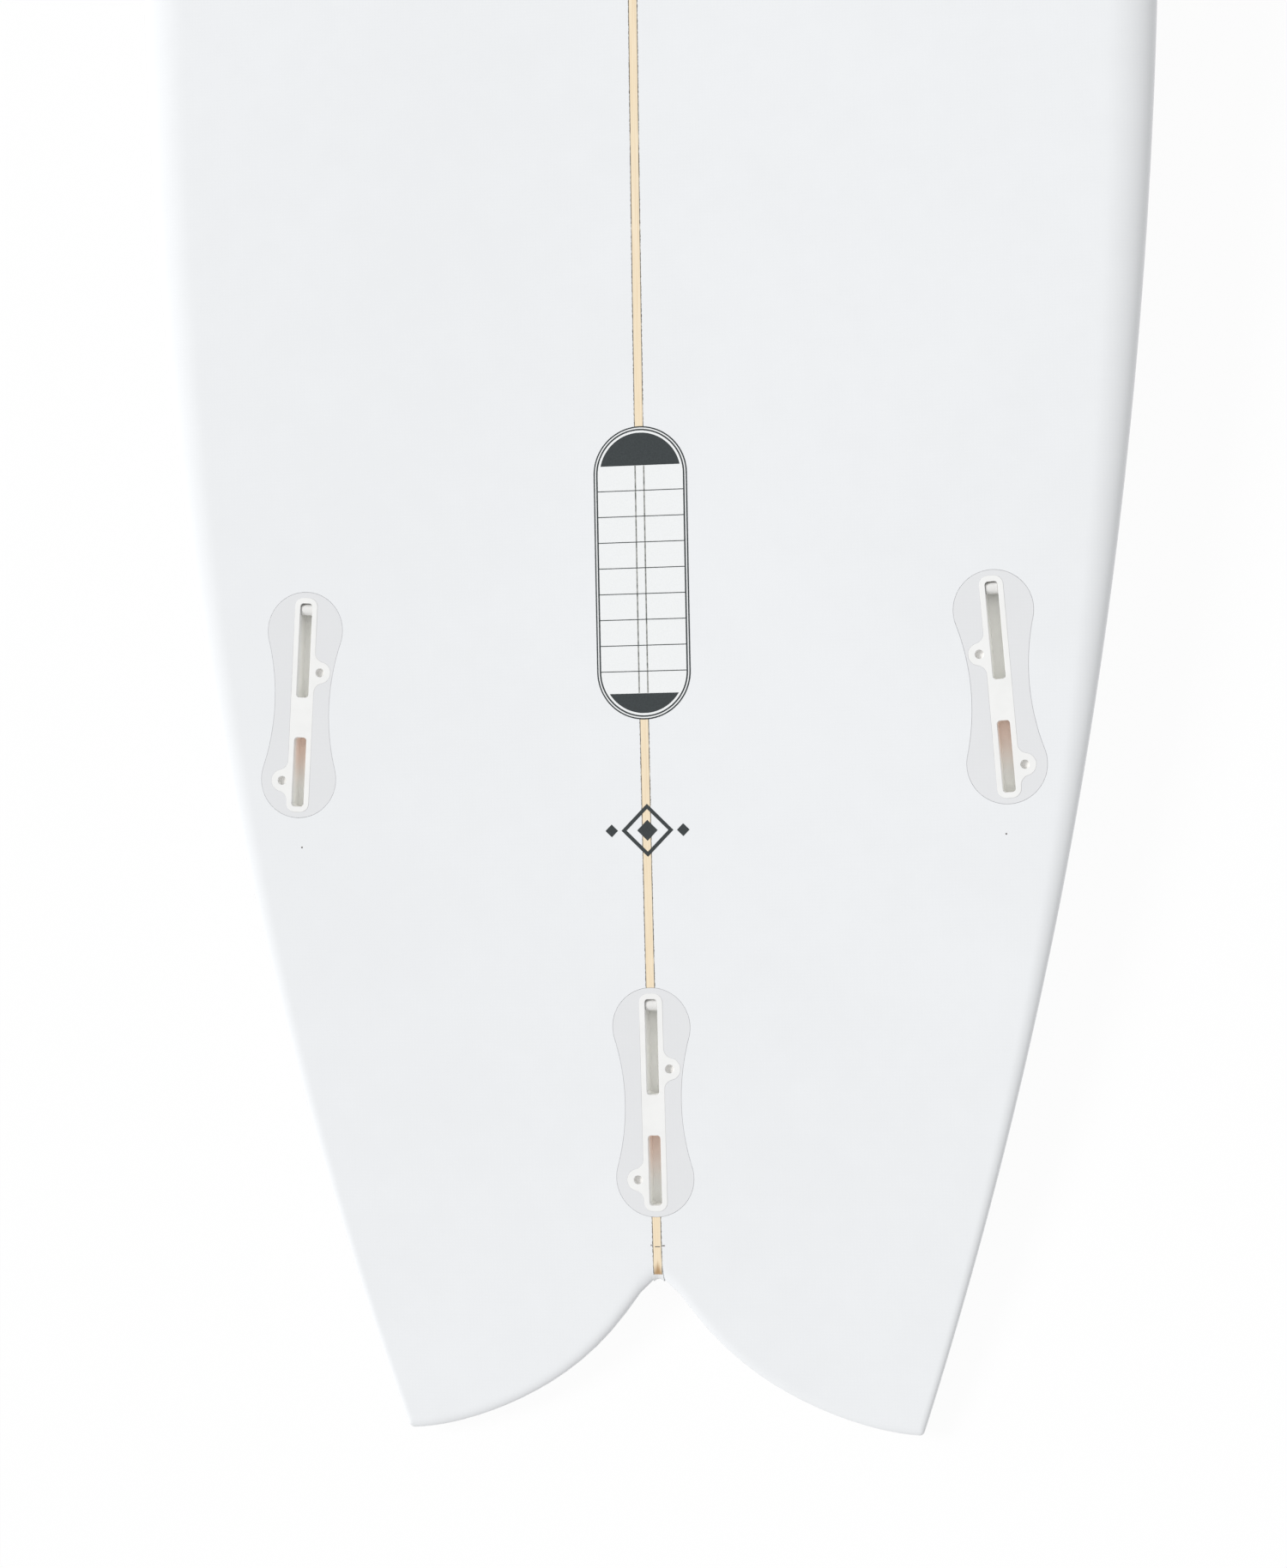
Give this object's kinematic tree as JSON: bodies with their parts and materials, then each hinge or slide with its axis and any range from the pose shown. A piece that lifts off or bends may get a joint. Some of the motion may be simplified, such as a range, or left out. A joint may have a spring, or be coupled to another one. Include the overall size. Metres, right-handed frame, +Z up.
{
  "type": "surfboard",
  "caption": "Short fish surfboard with a swallow tail, lying deck down: foam core on a wooden stringer under glass skins, slotted fin plugs in the bottom and a leash cup in the deck.",
  "frame": {"origin": "middle of the board's outline on the floor that it lies on, deck down", "axes": "+X to the right with the bottom up and the nose ahead, +Y to the nose, +Z up out of the bottom"},
  "size_m": [0.527, 1.9304, 0.0936],
  "materials": {
    "foam": "matt white foam",
    "stringer_wood": "pale sanded wood under resin",
    "glue": "dark grey glue",
    "laminate": "clear sanded and polished resin over glass cloth",
    "plug_plastic": "white moulded plastic",
    "surround_resin": "white filled resin",
    "barrel_plastic": "white moulded plastic",
    "pin_metal": "bare metal",
    "buffer_rubber": "soft off-white elastomer",
    "cup_plastic": "white moulded plastic"
  },
  "bodies": {
    "board": {"foam_core_left": "foam", "foam_core_right": "foam", "stringer": "stringer_wood", "stringer_glue_left": "glue", "stringer_glue_right": "glue", "bottom_laminate": "laminate", "deck_laminate": "laminate", "left_fin_plug": "plug_plastic", "left_plug_surround": "surround_resin", "left_barrel_buffer": "buffer_rubber", "right_fin_plug": "plug_plastic", "right_plug_surround": "surround_resin", "right_barrel_buffer": "buffer_rubber", "centre_fin_plug": "plug_plastic", "centre_plug_surround": "surround_resin", "centre_barrel_buffer": "buffer_rubber", "leash_cup": "cup_plastic", "leash_pin": "pin_metal"},
    "left_barrel_carrier": {"left_barrel_pin": "pin_metal"},
    "left_barrel": {"left_retention_barrel": "barrel_plastic"},
    "right_barrel_carrier": {"right_barrel_pin": "pin_metal"},
    "right_barrel": {"right_retention_barrel": "barrel_plastic"},
    "centre_barrel_carrier": {"centre_barrel_pin": "pin_metal"},
    "centre_barrel": {"centre_retention_barrel": "barrel_plastic"}
  },
  "joints": [
    {"name": "left_barrel_press", "type": "slide", "parent": "board", "child": "left_barrel_carrier", "axis": [0.0684, 0.9933, 0.0933], "range_m": [0, 0.0009], "stiffness_N_per_m": 400, "deforming": ["left_barrel_buffer"]},
    {"name": "left_barrel_spin", "type": "hinge", "parent": "left_barrel_carrier", "child": "left_barrel", "pos_m": [-0.17437, -0.54998, 0.05994], "axis": [0.9977, -0.0681, -0.0064], "continuous": true},
    {"name": "right_barrel_press", "type": "slide", "parent": "board", "child": "right_barrel_carrier", "axis": [-0.0684, 0.9933, 0.0933], "range_m": [0, 0.0009], "stiffness_N_per_m": 400, "deforming": ["right_barrel_buffer"]},
    {"name": "right_barrel_spin", "type": "hinge", "parent": "right_barrel_carrier", "child": "right_barrel", "pos_m": [0.17437, -0.54998, 0.05994], "axis": [0.9977, 0.0681, 0.0064], "continuous": true},
    {"name": "centre_barrel_press", "type": "slide", "parent": "board", "child": "centre_barrel_carrier", "axis": [0, 0.9926, 0.1214], "range_m": [0, 0.0009], "stiffness_N_per_m": 400, "deforming": ["centre_barrel_buffer"]},
    {"name": "centre_barrel_spin", "type": "hinge", "parent": "centre_barrel_carrier", "child": "centre_barrel", "pos_m": [0, -0.75199, 0.03949], "axis": [1, 0, 0], "continuous": true}
  ]
}
